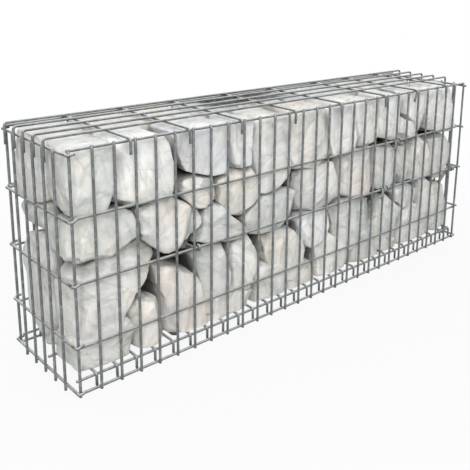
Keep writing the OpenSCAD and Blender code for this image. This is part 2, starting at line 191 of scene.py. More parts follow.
def noise(points, seed):
    """Smooth gradient noise between about -1 and 1."""
    cells = np.floor(points).astype(np.int64)
    part = points - cells
    cells = cells + CELL_OFFSET
    ease = part ** 3 * (part * (part * 6 - 15) + 10)
    total = np.zeros(len(points))
    for corner in np.ndindex(2, 2, 2):
        offset = np.array(corner)
        weight = np.prod(np.where(offset == 1, ease, 1 - ease), axis=1)
        away = part - offset
        at = cells + offset
        slope = sum(hashed(at, seed + 7 * k) * away[:, k] for k in range(3))
        total += weight * slope
    return NOISE_GAIN * total


def fractal(points, seed, octaves):
    """Noise summed over several octaves."""
    total = np.zeros(len(points))
    for k in range(octaves):
        total += OCTAVE_FALLOFF ** k * noise(points * OCTAVE_STEP ** k, seed + 31 * k)
    return total


def smooth_step(low, high, values):
    """Values eased from 0 at the low limit to 1 at the high one."""
    t = np.clip((values - low) / (high - low), 0, 1)
    return t * t * (3 - 2 * t)


# Meshes


class Pile:
    """Points and faces of many small solids, gathered into one mesh."""

    def __init__(self):
        self.points = []
        self.faces = []
        self.count = 0

    def add(self, points, *faces):
        """Adds a solid: its points, and arrays of faces with as many corners each."""
        self.points.append(points)
        self.faces.extend(np.asarray(f, int) + self.count for f in faces if len(f))
        self.count += len(points)

    def mesh(self, name):
        """Everything added so far as one smooth mesh."""
        mesh = bpy.data.meshes.new(name)
        points = np.concatenate(self.points)
        sizes = np.concatenate([np.full(len(f), f.shape[1]) for f in self.faces])
        corners = np.concatenate([f.ravel() for f in self.faces])
        mesh.vertices.add(len(points))
        mesh.vertices.foreach_set("co", points.ravel().astype(np.float32))
        mesh.loops.add(len(corners))
        mesh.loops.foreach_set("vertex_index", corners.astype(np.int32))
        mesh.polygons.add(len(sizes))
        starts = np.concatenate([[0], np.cumsum(sizes)[:-1]])
        mesh.polygons.foreach_set("loop_start", starts.astype(np.int32))
        mesh.polygons.foreach_set("use_smooth", np.ones(len(sizes), bool))
        mesh.update(calc_edges=True)
        mesh.validate()
        return mesh


def place_piece(name, mesh, material, slot, *nodes):
    """Adds a mesh to the scene in place of the named CAD nodes."""
    piece = bpy.data.objects.new(name, mesh)
    bpy.context.scene.collection.objects.link(piece)
    mesh.materials.append(material)
    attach(piece, "root")
    if nodes:
        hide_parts(*nodes)


# Materials


def node_maker(tree):
    """A function that adds a node to a tree and sets its inputs or its settings."""

    def node(kind, **values):
        made = tree.nodes.new(kind)
        for key, value in values.items():
            if key in made.inputs:
                made.inputs[key].default_value = value
            else:
                setattr(made, key, value)
        return made

    return node


def new_material(name):
    """A node material: the material itself, a node maker, a linker and its shader."""
    material = bpy.data.materials.new(name)
    material.use_nodes = True
    tree = material.node_tree
    return material, node_maker(tree), tree.links.new, tree.nodes["Principled BSDF"]


def ramp(node, link, value, stops):
    """Socket with the colour of a ramp at a value, from (place, grey or colour) stops."""
    made = node("ShaderNodeValToRGB")
    elements = made.color_ramp.elements
    while len(elements) < len(stops):
        elements.new(0.5)
    for element, (place, colour) in zip(elements, stops):
        element.position = place
        rgb = (colour,) * 3 if isinstance(colour, (int, float)) else tuple(colour)
        element.color = (*rgb, 1)
    link(value, made.inputs["Fac"])
    return made.outputs["Color"]


RANGE_INPUTS = ("From Min", "From Max", "To Min", "To Max")


def mapped(node, link, value, *limits):
    """Socket that runs between the last two limits while a value runs between the first two."""
    made = node("ShaderNodeMapRange")
    for name, limit in zip(RANGE_INPUTS, limits):
        made.inputs[name].default_value = limit
    link(value, made.inputs["Value"])
    return made.outputs["Result"]


def multiplied(node, link, first, second):
    """Socket with the product of two colours."""
    mix = node("ShaderNodeMix", data_type="RGBA", blend_type="MULTIPLY")
    mix.inputs["Factor"].default_value = 1.0
    link(first, mix.inputs["A"])
    link(second, mix.inputs["B"])
    return mix.outputs["Result"]


TEXTURE_SHIFT = (5.1, 3.7, 7.3)
VEIN_TONES = [(0.485, 1.0), (0.499, 0.87), (0.501, 0.87), (0.515, 1.0)]
MOTTLE_TONES = [(0.28, 0.91), (0.5, 0.99), (0.72, 1.04)]
GRAIN_TONES = [(0.3, 0.9), (0.5, 1.0), (0.75, 1.05)]
STONE_ROUGHNESS = [(0.3, 0.72), (0.7, 0.9)]
STONE_SHINE = (0.05, 0.4, 0.0, 0.3)


def stone_material():
    """Pale limestone: vertex tints with veins, mottling and grain, and a pitted bump."""
    material, node, link, shader = new_material("limestone")
    tint = node("ShaderNodeVertexColor", layer_name="tint").outputs["Color"]
    origin = node("ShaderNodeTexCoord")
    shift = node("ShaderNodeAttribute", attribute_name="stone_shift")
    place = node("ShaderNodeVectorMath", operation="MULTIPLY_ADD")
    link(shift.outputs["Fac"], place.inputs[0])
    place.inputs[1].default_value = TEXTURE_SHIFT
    link(origin.outputs["Object"], place.inputs[2])

    def texture(kind, output, **values):
        made = node(kind, **values)
        link(place.outputs["Vector"], made.inputs["Vector"])
        return made.outputs[output]

    vein = texture("ShaderNodeTexNoise", "Fac", Scale=10.0, Detail=2.0, Roughness=0.5, Distortion=0.3)
    mottle = texture("ShaderNodeTexNoise", "Fac", Scale=70.0, Detail=7.0, Roughness=0.62, Distortion=0.4)
    grain = texture("ShaderNodeTexNoise", "Fac", Scale=620.0, Detail=4.0, Roughness=0.6)
    colour = tint
    for value, tones in ((mottle, MOTTLE_TONES), (grain, GRAIN_TONES), (vein, VEIN_TONES)):
        colour = multiplied(node, link, colour, ramp(node, link, value, tones))
    link(colour, shader.inputs["Base Color"])
    link(ramp(node, link, mottle, STONE_ROUGHNESS), shader.inputs["Roughness"])
    link(mapped(node, link, tint, *STONE_SHINE), shader.inputs["Specular IOR Level"])

    rough = texture("ShaderNodeTexNoise", "Fac", Scale=210.0, Detail=8.0, Roughness=0.66)
    bump = node("ShaderNodeBump", Strength=0.55, Distance=1.6 * MM)
    link(rough, bump.inputs["Height"])
    pits = texture("ShaderNodeTexVoronoi", "Distance", Scale=330.0, feature="SMOOTH_F1")
    pitted = node("ShaderNodeBump", Strength=0.22, Distance=0.8 * MM)
    link(pits, pitted.inputs["Height"])
    link(bump.outputs["Normal"], pitted.inputs["Normal"])
    link(pitted.outputs["Normal"], shader.inputs["Normal"])
    return material


ZINC = [(0.3, linear((86, 90, 91))), (0.5, linear((112, 116, 117))), (0.72, linear((150, 154, 154)))]
WIRE_ROUGHNESS = [(0.3, 0.34), (0.7, 0.55)]
WIRE_METALLIC = 0.35
# Painted highlight on top and painted shade below: rise of the surface where it starts and where it is full,
# its share and colour
WIRE_PAINTED_LIGHT = [(0.25, 0.95, 0.7, (214, 216, 213)), (-0.15, -0.85, 0.6, (58, 61, 61))]


def wire_material():
    """Galvanised steel: dull zinc grey with cloudy patches, with a painted highlight on top and painted
    shade below.
    """
    material, node, link, shader = new_material("galvanised_wire")
    place = node("ShaderNodeTexCoord")
    cloud = node("ShaderNodeTexNoise", Scale=95.0, Detail=6.0, Roughness=0.65, Distortion=0.6)
    link(place.outputs["Object"], cloud.inputs["Vector"])
    tone = ramp(node, link, cloud.outputs["Fac"], ZINC)

    shape = node("ShaderNodeNewGeometry")
    parts = node("ShaderNodeSeparateXYZ")
    link(shape.outputs["Normal"], parts.inputs["Vector"])
    # Pale on faces that look up and dark on faces that look down: painted highlight and painted shade
    for start, end, share, colour in WIRE_PAINTED_LIGHT:
        mix = node("ShaderNodeMix", data_type="RGBA")
        link(mapped(node, link, parts.outputs["Z"], start, end, 0.0, share), mix.inputs["Factor"])
        link(tone, mix.inputs["A"])
        mix.inputs["B"].default_value = (*linear(colour), 1)
        tone = mix.outputs["Result"]
    link(tone, shader.inputs["Base Color"])

    speck = node("ShaderNodeTexNoise", Scale=900.0, Detail=3.0, Roughness=0.6)
    link(place.outputs["Object"], speck.inputs["Vector"])
    link(ramp(node, link, speck.outputs["Fac"], WIRE_ROUGHNESS), shader.inputs["Roughness"])
    bump = node("ShaderNodeBump", Strength=0.3, Distance=0.25 * MM)
    link(speck.outputs["Fac"], bump.inputs["Height"])
    link(bump.outputs["Normal"], shader.inputs["Normal"])
    shader.inputs["Metallic"].default_value = WIRE_METALLIC
    return material


limestone = stone_material()
galvanised = wire_material()

# Wires

WIRE_SIDES = 12
PATH_STEP = 15 * MM
BEND_STEP = math.radians(12)
JOIN_GAP = 0.2 * MM
WANDER = 0.55 * MM
WANDER_SPAN = 130 * MM
AXIS_SHIFT = 11.3
GIRTH_VARIES = 0.03
GIRTH_SPAN = 25 * MM
CUT_LENGTH = 0.5 * MM
CUT_SHARE = 0.72


def unit(v):
    """A vector scaled to length 1."""
    return v / np.linalg.norm(v)


def straight(start, end):
    """Points along a straight stretch, evenly spaced."""
    start, end = np.asarray(start, float), np.asarray(end, float)
    count = max(2, int(np.linalg.norm(end - start) / PATH_STEP) + 1)
    return np.linspace(start, end, count)


def arc(centre, first, second, turn):
    """Points of an arc that starts at centre + first and turns towards centre + second."""
    count = max(3, int(abs(turn) / BEND_STEP) + 1)
    angles = np.linspace(0, turn, count)[:, None]
    return np.asarray(centre) + np.cos(angles) * np.asarray(first) + np.sin(angles) * np.asarray(second)


def join(*stretches):
    """One path from several stretches, without doubled points."""
    path = np.concatenate(stretches)
    keep = np.concatenate([[True], np.linalg.norm(np.diff(path, axis=0), axis=1) > JOIN_GAP])
    return path[keep]


def wandered(path, seed, amount=WANDER):
    """A path that strays a little, as hand-handled wire does."""
    stray = [noise(path / WANDER_SPAN + AXIS_SHIFT * k, seed + k) for k in range(3)]
    return path + amount * np.stack(stray, axis=1)


def side_faces(rings, sides):
    """Four-cornered faces that join rings of points."""
    rows = np.arange(rings - 1)[:, None] * sides
    k = np.arange(sides)
    after = (k + 1) % sides
    quads = np.stack([rows + k, rows + after, rows + sides + after, rows + sides + k], axis=-1)
    return quads.reshape(-1, 4)


def tube(path, seed, radius=WIRE_R):
    """Points, side faces and end faces of a round wire along a path, with cut ends."""
    first = path[0] + unit(path[1] - path[0]) * CUT_LENGTH
    last = path[-1] + unit(path[-2] - path[-1]) * CUT_LENGTH
    path = np.concatenate([path[:1], [first], path[1:-1], [last], path[-1:]])
    along = np.gradient(path, axis=0)
    along /= np.linalg.norm(along, axis=1)[:, None]
    side = np.cross(along[0], np.eye(3)[np.argmin(np.abs(along[0]))])
    sides = [unit(side)]
    for t in along[1:]:
        sides.append(unit(sides[-1] - t * (sides[-1] @ t)))
    sides = np.array(sides)
    other = np.cross(along, sides)
    girth = radius * (1 + GIRTH_VARIES * noise(path / GIRTH_SPAN, seed + 5))
    girth[[0, -1]] *= CUT_SHARE
    angles = np.arange(WIRE_SIDES) * 2 * math.pi / WIRE_SIDES
    ring = np.cos(angles)[:, None] * sides[:, None, :] + np.sin(angles)[:, None] * other[:, None, :]
    points = path[:, None, :] + girth[:, None, None] * ring
    start_face = [np.arange(WIRE_SIDES)[::-1]]
    end_face = [np.arange(WIRE_SIDES) + (len(path) - 1) * WIRE_SIDES]
    return points.reshape(-1, 3), side_faces(len(path), WIRE_SIDES), start_face, end_face


BEAD_RINGS = 5
BEAD_SIDES = 8
BEAD_SWELL = 0.18
BEAD_LUMPS = 1.7
BEAD_SHIFT = 3.1


def bead(centre, radii, seed):
    """A small squeezed weld bead."""
    levels = np.linspace(-math.pi / 2, math.pi / 2, BEAD_RINGS + 2)[1:-1]
    angles = np.arange(BEAD_SIDES) * 2 * math.pi / BEAD_SIDES
    flat = np.cos(levels)[:, None, None] * np.stack([np.cos(angles), np.sin(angles)], axis=-1)
    height = np.broadcast_to(np.sin(levels)[:, None, None], (BEAD_RINGS, BEAD_SIDES, 1))
    ball = np.concatenate([flat, height], axis=-1).reshape(-1, 3)
    ball = np.concatenate([ball, [[0, 0, -1], [0, 0, 1]]])
    swell = 1 + BEAD_SWELL * noise(ball * BEAD_LUMPS + seed * BEAD_SHIFT, seed)
    low = BEAD_RINGS * BEAD_SIDES
    high = low + 1
    top = (BEAD_RINGS - 1) * BEAD_SIDES
    tris = [((j + 1) % BEAD_SIDES, j, low) for j in range(BEAD_SIDES)]
    tris += [(top + j, top + (j + 1) % BEAD_SIDES, high) for j in range(BEAD_SIDES)]
    return centre + ball * swell[:, None] * np.asarray(radii), side_faces(BEAD_RINGS, BEAD_SIDES), tris


BEAD_WIDE = 0.72 * WIRE_D
BEAD_DEEP = 0.52 * WIRE_D


def long_panel(name, side, seed):
    """Front (side -1) or back (side 1) panel: uprights outside, rails welded inside."""
    pile = Pile()
    uprights = [-HALF_LENGTH + i * PITCH for i in range(WIRE_SPACES + 1)]
    for i, x in enumerate(uprights):
        top = TOP_RAIL if i in (0, WIRE_SPACES) else UPRIGHT_TOP
        path = straight((x, side * HALF_DEPTH, 0), (x, side * HALF_DEPTH, top))
        path[:, :2] = wandered(path, seed + 3 * i)[:, :2]
        pile.add(*tube(path, seed + i))
    for k, z in enumerate(RAIL_LEVELS):
        path = straight((-HALF_LENGTH - WIRE_R, side * RAIL_Y, z), (HALF_LENGTH + WIRE_R, side * RAIL_Y, z))
        path[:, 2] = wandered(path, seed + 200 + k)[:, 2]
        pile.add(*tube(path, seed + 100 + k))
        for i, x in enumerate(uprights):
            spot = np.array((x, side * (HALF_DEPTH + RAIL_Y) / 2, z))
            pile.add(*bead(spot, (BEAD_WIDE, BEAD_DEEP, BEAD_WIDE), seed + 40 * k + i))
    place_piece(name, pile.mesh(name), galvanised, "galvanised_wire", name)


def hook(corner, out, ahead, rise):
    """Rail end that turns around a corner upright and ends in a short rising tip."""
    bend = arc(corner, out, ahead, HOOK_TURN)
    tip = bend[-1] + HOOK_TIP * unit(bend[-1] - bend[-2])
    path = np.concatenate([bend, [(bend[-1] + tip) / 2, tip]])
    path[:, 2] += rise * np.linspace(0, 1, len(path)) ** 2
    return path


def end_panel(name, side, seed):
    """Left (side -1) or right (side 1) panel, its rails hooked around the corner uprights."""
    pile = Pile()
    uprights = [-HALF_DEPTH + END_FIRST_GAP + k * END_PITCH for k in range(END_UPRIGHTS)]
    for i, y in enumerate(uprights):
        path = straight((side * END_UPRIGHT_X, y, 0), (side * END_UPRIGHT_X, y, END_TOP))
        path[:, :2] = wandered(path, seed + 3 * i)[:, :2]
        pile.add(*tube(path, seed + i))
    out = np.array((side * HOOK_RADIUS, 0, 0))
    ahead = np.array((0, HOOK_RADIUS, 0))
    for k, z in enumerate(END_RAIL_LEVELS):
        front_corner = np.array((side * HALF_LENGTH, -HALF_DEPTH, z))
        back_corner = np.array((side * HALF_LENGTH, HALF_DEPTH, z))
        front_hook = hook(front_corner, out, -ahead, HOOK_RISES[k])[::-1]
        back_hook = hook(back_corner, out, ahead, HOOK_RISES[-1 - k])
        middle = straight(front_corner + out, back_corner + out)
        middle[:, 0] += side * (END_RAIL_X - HALF_LENGTH - HOOK_RADIUS)
        middle[:, 2] = wandered(middle, seed + 50 + k)[:, 2]
        pile.add(*tube(join(front_hook, middle, back_hook), seed + 60 + k))
        for i, y in enumerate(uprights):
            spot = np.array((side * (END_RAIL_X + END_UPRIGHT_X) / 2, y, z))
            pile.add(*bead(spot, (BEAD_DEEP, BEAD_WIDE, BEAD_WIDE), seed + 70 + 8 * k + i))
    place_piece(name, pile.mesh(name), galvanised, "galvanised_wire", name)


def bent_profile(reach, tail):
    """A wire with both ends bent down: places along it and heights below its top."""
    centre = np.array((-reach + BEND_RADIUS, 0, -BEND_RADIUS))
    first = np.array((-BEND_RADIUS, 0, 0))
    up = np.array((0, 0, BEND_RADIUS))
    rise = straight((-reach, 0, -tail), (-reach, 0, -BEND_RADIUS))
    left = join(rise, arc(centre, first, up, math.pi / 2))
    right = left[::-1] * (-1, 1, 1)
    return join(left, straight(left[-1], right[0]), right)


def lid_panel(name, seed):
    """Lid: long wires on top of cross wires, all bent down over the edges."""
    pile = Pile()
    longs = [-HALF_DEPTH + LID_FIRST_GAP + k * END_PITCH for k in range(LID_WIRES)]
    crosses = [-HALF_LENGTH + share * PITCH for share in LID_CROSS_SHARES]
    for k, y in enumerate(longs):
        path = bent_profile(LID_END_X, LID_END_TAIL) + (0, y, LID_Z)
        path[:, 1] = wandered(path, seed + k)[:, 1]
        pile.add(*tube(path, seed + k))
    for k, x in enumerate(crosses):
        path = bent_profile(LID_TAIL_Y, LID_TAIL)[:, [1, 0, 2]] + (x, 0, LID_CROSS_Z)
        path[:, 0] = wandered(path, seed + 20 + k)[:, 0]
        low = np.where(path[:, 1] < 0, (LID_CROSS_Z - path[:, 2]) / LID_TAIL, 0)
        path[:, 0] += LID_SLANTS[k] * low ** 2
        pile.add(*tube(path, seed + 20 + k))
        for j, y in enumerate(longs):
            spot = np.array((x, y, (LID_Z + LID_CROSS_Z) / 2))
            pile.add(*bead(spot, (BEAD_WIDE, BEAD_WIDE, BEAD_DEEP), seed + 40 + 8 * k + j))
    place_piece(name, pile.mesh(name), galvanised, "galvanised_wire", name)


def base_panel(name, seed):
    """Base: cross wires that carry the stones, bent down at both ends, over long wires."""
    pile = Pile()
    crosses = [-HALF_LENGTH + (i + BASE_CROSS_SHARE) * PITCH for i in range(WIRE_SPACES)]
    longs = np.linspace(-BASE_EDGE_Y, BASE_EDGE_Y, BASE_WIRES)
    for i, x in enumerate(crosses):
        path = bent_profile(BASE_TAIL_Y, BASE_TAIL)[:, [1, 0, 2]] + (x, 0, BASE_CROSS_Z)
        path[:, 0] = wandered(path, seed + i, 2 * WANDER)[:, 0]
        pile.add(*tube(path, seed + i))
    for k, y in enumerate(longs):
        path = straight((-HALF_LENGTH, y, BASE_Z), (HALF_LENGTH, y, BASE_Z))
        path[:, 1] = wandered(path, seed + 60 + k)[:, 1]
        pile.add(*tube(path, seed + 60 + k))
        for i, x in enumerate(crosses):
            spot = np.array((x, y, (BASE_Z + BASE_CROSS_Z) / 2))
            pile.add(*bead(spot, (BEAD_WIDE, BEAD_WIDE, BEAD_DEEP), seed + 80 + 30 * k + i))
    place_piece(name, pile.mesh(name), galvanised, "galvanised_wire", name)


BINDING_R = 0.42 * WIRE_D
BINDING_OFFSET = 3 * WIRE_D
BINDING_POINTS = 14
BINDING_PITCH = 2.3 * BINDING_R
BINDING_RADIUS = WIRE_R + 1.05 * BINDING_R
CURL_POINTS = 8
# Loose ends: where each heads for, and where it stops, from where it leaves the rail
HANGING_END = np.array([(-1, -4, -6), (-8, -2, -16)]) * MM
STANDING_END = np.array([(3, -4, -8), (16, -2, -5)]) * MM
BRACE_STRANDS = 2
BRACE_STEP = 1.5 * WIRE_D
BRACE_RUN = np.array((-20, 6, 0)) * MM
BRACE_SLANT = np.array((-24, 8, -36)) * MM


def curl(start, bend, tip):
    """Path from a start that leaves towards a bend and ends at a tip, both measured from the start."""
    t = np.linspace(0, 1, CURL_POINTS)[1:, None]
    return start + 2 * t * (1 - t) * bend + t ** 2 * tip


def binding(centre, turns, seed):
    """Wire wound around a front rail, with one end that hangs down and one that stands off to the right."""
    angles = np.linspace(0, turns * 2 * math.pi, BINDING_POINTS * turns)
    along = BINDING_PITCH * (angles - angles.mean()) / (2 * math.pi)
    coil = np.stack([along, -BINDING_RADIUS * np.cos(angles), BINDING_RADIUS * np.sin(angles)], axis=1)
    hanging = curl(coil[0], *HANGING_END)[::-1]
    standing = curl(coil[-1], *STANDING_END)
    return tube(centre + np.concatenate([hanging, coil, standing]), seed, BINDING_R)


def corner_brace(corner, seed):
    """Wire hooked on a corner upright, that slants down into the fill."""
    bend = corner + BRACE_RUN
    return tube(join(straight(corner, bend), straight(bend, bend + BRACE_SLANT)), seed)


def tie_wire(name, share, rail, turns, seed):
    """Tie through the fill, hooked around a front rail and a back rail, with bindings or corner braces."""
    x = -HALF_LENGTH + share * PITCH
    z = RAIL_LEVELS[rail]
    pile = Pile()
    down = np.array((0, 0, -WIRE_D))
    front = np.array((x, -RAIL_Y, z))
    back = np.array((x, RAIL_Y, z))
    front_hook = arc(front, down, (0, -WIRE_D, 0), TIE_TURN)[::-1]
    back_hook = arc(back, down, (0, WIRE_D, 0), TIE_TURN)
    middle = wandered(straight(front + down, back + down), seed)
    pile.add(*tube(join(front_hook, middle[1:-1], back_hook), seed))
    if turns:
        pile.add(*binding(front - (BINDING_OFFSET, 0, 0), turns, seed + 50))
    for strand in range(BRACE_STRANDS if share > WIRE_SPACES - 1 else 0):
        corner = np.array((HALF_LENGTH, -RAIL_Y + WIRE_D, z - strand * BRACE_STEP))
        pile.add(*corner_brace(corner, seed + 60 + strand))
    place_piece(name, pile.mesh(name), galvanised, "galvanised_wire", name)


long_panel("front_panel", -1, 1000)
long_panel("back_panel", 1, 2000)
end_panel("left_end_panel", -1, 3000)
end_panel("right_end_panel", 1, 4000)
lid_panel("lid_panel", 5000)
base_panel("base_panel", 6000)
for number, (share, rail, turns) in enumerate(TIES, 1):
    tie_wire(f"tie_wire_{number}", share, rail, turns, 7000 + number)

# Stones

POINT_DIGITS = 6
NORMAL_DIGITS = 2
LEAST_AREA = 1e-9
FRONT_DETAIL = 22
BACK_DETAIL = 18
LEAN_TO_FRONT = 0.3
GROWTH = 0.8 * MM

# Breaks: chipped corners, shavings and broad facets, how sharp they meet and how much their tones differ as
# painted light and shade
CHIPS = 4
CHIP_TILT = 0.22
CHIP_SHARES = (0.9, 0.98)
SHAVINGS = 8
SHAVING_SHARES = (0.965, 1.0)
FACETS = 5
FACET_AXIS = (0.3, 0.2, 0.9)
FACET_TURNS = 0.6
FACET_OUT = (0.1, 0.75)
FACET_TILT = (0.1, 0.5)
SHARPNESS = (120, 220)
EDGE_NEAR = (0.93, 1.0)
PLANE_PAINTED_SHADING = 0.045

# Filling of hollows, and beds against the lid, the base and the back
SAME_STONE = 1 * MM
HOLLOW_SHARE = 0.55
HOLLOW_MOST = 15 * MM
HOLLOW_FADE = (30 * MM, 70 * MM)
HOLLOW_FACING = (0.35, 0.8)
LEAST_SLOPE = 0.02
BED_FACING = (0.0, 0.5)
LID_FADE = (20 * MM, 75 * MM)
LID_SHARES = (0.6, 0.92)
BACK_LID_SHARE = 0.97
BASE_FADE = (35 * MM, 100 * MM)
BASE_SHARE = 0.92
SIDE_FADE = (35 * MM, 80 * MM)
SIDE_SHARE = 0.75

# Relief and colour: sizes of their forms, and the weight of each in millimetres or as a share
BEND_SCALE = 2.3
BEND_SHIFT = 5.1
BEND_SHARE = 0.025
BED_UPRIGHT = (0, 0, 0.6)
SWELL_SPAN = 52 * MM
LUMP_SPAN = 17 * MM
FINE_SPAN = 5 * MM
CREASE_SPANS = (21 * MM, 85 * MM)
CREASE_SWELL = 0.8
CREASE_NEAR = (0.88, 1.0)
RELIEF = {"swell": 0.5, "lumps": 0.6, "fine": 0.25, "edge": -0.2, "crease": -1.0}
WARP = 5 * MM
STREAK_SPANS = (7 * MM, 55 * MM)
PATCH_SPAN = 38 * MM
DRIFT_SPAN = 46 * MM
# Colour weights: streak and patch are the stone's own tone; lumps and crease paint shade into dips and
# creases; edge lightens edges as fresh breaks and as a painted highlight
SHADES = {"streak": 0.13, "patch": 0.05, "lumps": 0.06, "edge": 0.05, "crease": -0.16}
WARMTH = np.array((0.035, 0.0, -0.05))
STAIN_SHARE = 0.35
STAIN_PATCHES = (0.1, 0.9)
STAIN_STREAKS = (-0.1, 0.6)
DARK_PATCH_STREAKS = 0.15
BRIGHTEST = 0.86
# Painted shade: stones darken with depth behind the open sides of the basket, between these two depths, by
# up to this share
INNER_SHADE_DEPTHS = (12 * MM, 50 * MM)
INNER_PAINTED_SHADE = 0.72


def geodesic(divisions):
    """Points and triangles of a sphere, from an icosahedron with divided faces."""
    g = (1 + math.sqrt(5)) / 2
    tips = np.array([
        (-1, g, 0), (1, g, 0), (-1, -g, 0), (1, -g, 0), (0, -1, g), (0, 1, g),
        (0, -1, -g), (0, 1, -g), (g, 0, -1), (g, 0, 1), (-g, 0, -1), (-g, 0, 1),
    ])
    sides = [
        (0, 11, 5), (0, 5, 1), (0, 1, 7), (0, 7, 10), (0, 10, 11), (1, 5, 9), (5, 11, 4), (11, 10, 2),
        (10, 7, 6), (7, 1, 8), (3, 9, 4), (3, 4, 2), (3, 2, 6), (3, 6, 8), (3, 8, 9), (4, 9, 5),
        (2, 4, 11), (6, 2, 10), (8, 6, 7), (9, 8, 1),
    ]
    points, triangles = [], []
    for a, b, c in tips[np.array(sides)]:
        rows = []
        for i in range(divisions + 1):
            row = []
            for j in range(divisions + 1 - i):
                row.append(len(points))
                points.append(a + (b - a) * i / divisions + (c - a) * j / divisions)
            rows.append(row)
        for i in range(divisions):
            for j in range(divisions - i):
                triangles.append((rows[i][j], rows[i + 1][j], rows[i][j + 1]))
                if j < divisions - i - 1:
                    triangles.append((rows[i + 1][j], rows[i + 1][j + 1], rows[i][j + 1]))
    points = np.array(points)
    points, same = np.unique(np.round(points, POINT_DIGITS), axis=0, return_inverse=True)
    points /= np.linalg.norm(points, axis=1)[:, None]
    return points, same.reshape(-1)[np.array(triangles)]


def solids_of(name):
    """Points and triangles of each solid of a CAD node, from left to right."""
    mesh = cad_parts[name].data
    mesh.calc_loop_triangles()
    points = np.empty(3 * len(mesh.vertices))
    mesh.vertices.foreach_get("co", points)
    corners = np.empty(3 * len(mesh.loop_triangles), np.int32)
    mesh.loop_triangles.foreach_get("vertices", corners)
    points = np.round(points.reshape(-1, 3), POINT_DIGITS)
    points, same = np.unique(points, axis=0, return_inverse=True)
    triangles = same.reshape(-1)[corners].reshape(-1, 3)
    label = np.arange(len(points))
    settled = False
    while not settled:
        lower = label.copy()
        np.minimum.at(lower, triangles.ravel(), np.repeat(label[triangles].min(axis=1), 3))
        settled = (lower == label).all()
        label = lower
    solids = [(points, triangles[label[triangles[:, 0]] == k]) for k in np.unique(label[triangles])]
    return sorted(solids, key=lambda s: points[np.unique(s[1])].mean(axis=0)[0])


def bounding_planes(points, triangles, centre):
    """Outward normals and distances from the centre of a convex solid's faces."""
    a, b, c = (points[triangles[:, k]] for k in range(3))
    normals = np.cross(b - a, c - a)
    sizes = np.linalg.norm(normals, axis=1)
    keep = sizes > LEAST_AREA
    normals = normals[keep] / sizes[keep][:, None]
    distances = np.einsum("ij,ij->i", normals, a[keep] - centre)
    normals = np.where(distances[:, None] < 0, -normals, normals)
    first = np.unique(np.round(normals, NORMAL_DIGITS), axis=0, return_index=True)[1]
    return normals[first], np.abs(distances)[first]


def pulls(ways, normals, distances):
    """How near each plane lies each way: 1 over the distance, and 0 where it is never met."""
    return np.maximum(ways @ normals.T, 0) / distances


def clearance(places, centre, normals, distances):
    """How far places lie outside a solid between planes, below 0 inside."""
    return ((places - centre) @ normals.T - distances).max(axis=1)


def reach(ways, normals, distances, sharpness):
    """How far a rounded solid between planes reaches each way, how near an edge, and on which plane."""
    pull = pulls(ways, normals, distances)
    top, second = -np.sort(-pull, axis=1)[:, :2].T
    size = 1 / (top * ((pull / top[:, None]) ** sharpness).sum(axis=1) ** (1 / sharpness))
    return size, smooth_step(*EDGE_NEAR, second / top), pull.argmax(axis=1)


def depth_inside(places):
    """How far places lie behind the nearest open side of the basket."""
    x, y, z = np.abs(places).T
    return np.minimum(np.minimum(RAIL_Y - y, HALF_LENGTH - x), TOP_RAIL - z)


def rows_to_unit(rows):
    """Vectors, one a row, each scaled to length 1."""
    return rows / np.linalg.norm(rows, axis=1)[:, None]


def facets(way, normals, distances, rng):
    """Broad slanting breaks on the side of a stone that faces a way: normals and distances."""
    first = unit(np.cross(way, FACET_AXIS))
    second = np.cross(way, first)
    turns = (np.arange(FACETS) + rng.uniform(0, FACET_TURNS, FACETS)) / FACETS + rng.uniform()
    angles = 2 * math.pi * turns
    out = np.cos(angles)[:, None] * first + np.sin(angles)[:, None] * second
    rays = rows_to_unit(way + rng.uniform(*FACET_OUT, FACETS)[:, None] * out)
    spots = rays / pulls(rays, normals, distances).max(axis=1)[:, None]
    tilted = rows_to_unit(way + rng.uniform(*FACET_TILT, FACETS)[:, None] * out)
    return tilted, np.einsum("ij,ij->i", tilted, spots)


def stone_planes(names):
    """Centre, face planes and reach of every stone of the named nodes."""
    known = []
    for name in names:
        for points, triangles in solids_of(name):
            used = points[np.unique(triangles)]
            centre = used.mean(axis=0)
            known.append((centre, *bounding_planes(points, triangles, centre), np.ptp(used, axis=0).max()))
    return known


every_stone = stone_planes([*FRONT_TINTS, *BACK_TINTS])


def hollow_growth(centre, ways, size, facing):
    """How much further a stone reaches where it borders on a hollow between stones."""
    places = centre + ways * size[:, None]
    room = np.full(len(places), HOLLOW_FADE[1])
    for other, normals, distances, span in every_stone:
        away = np.linalg.norm(other - centre)
        if SAME_STONE < away < span + size.max() + HOLLOW_FADE[1]:
            room = np.minimum(room, clearance(places, other, normals, distances))
    low = np.array((-HALF_LENGTH + WIRE_R, -RAIL_Y + WIRE_R, BASE_CROSS_Z + WIRE_R))
    high = np.array((HALF_LENGTH - WIRE_R, RAIL_Y - WIRE_R, TOP_RAIL - WIRE_R))
    room = np.maximum(room, 0)
    out = np.sign(facing[1]) * ways[:, 1]
    growth = np.minimum(HOLLOW_SHARE * room, HOLLOW_MOST)
    growth *= (1 - smooth_step(*HOLLOW_FADE, room)) * (1 - smooth_step(*HOLLOW_FACING, out))
    ahead = np.where(ways > 0, high - places, places - low) / np.maximum(np.abs(ways), LEAST_SLOPE)
    return np.clip(growth, 0, np.maximum(ahead.min(axis=1), 0))


def at_back_top(centre, facing):
    """Whether a stone lies in the top course of the back layer."""
    return facing[1] > 0 and centre[2] > RAIL_LEVELS[3]


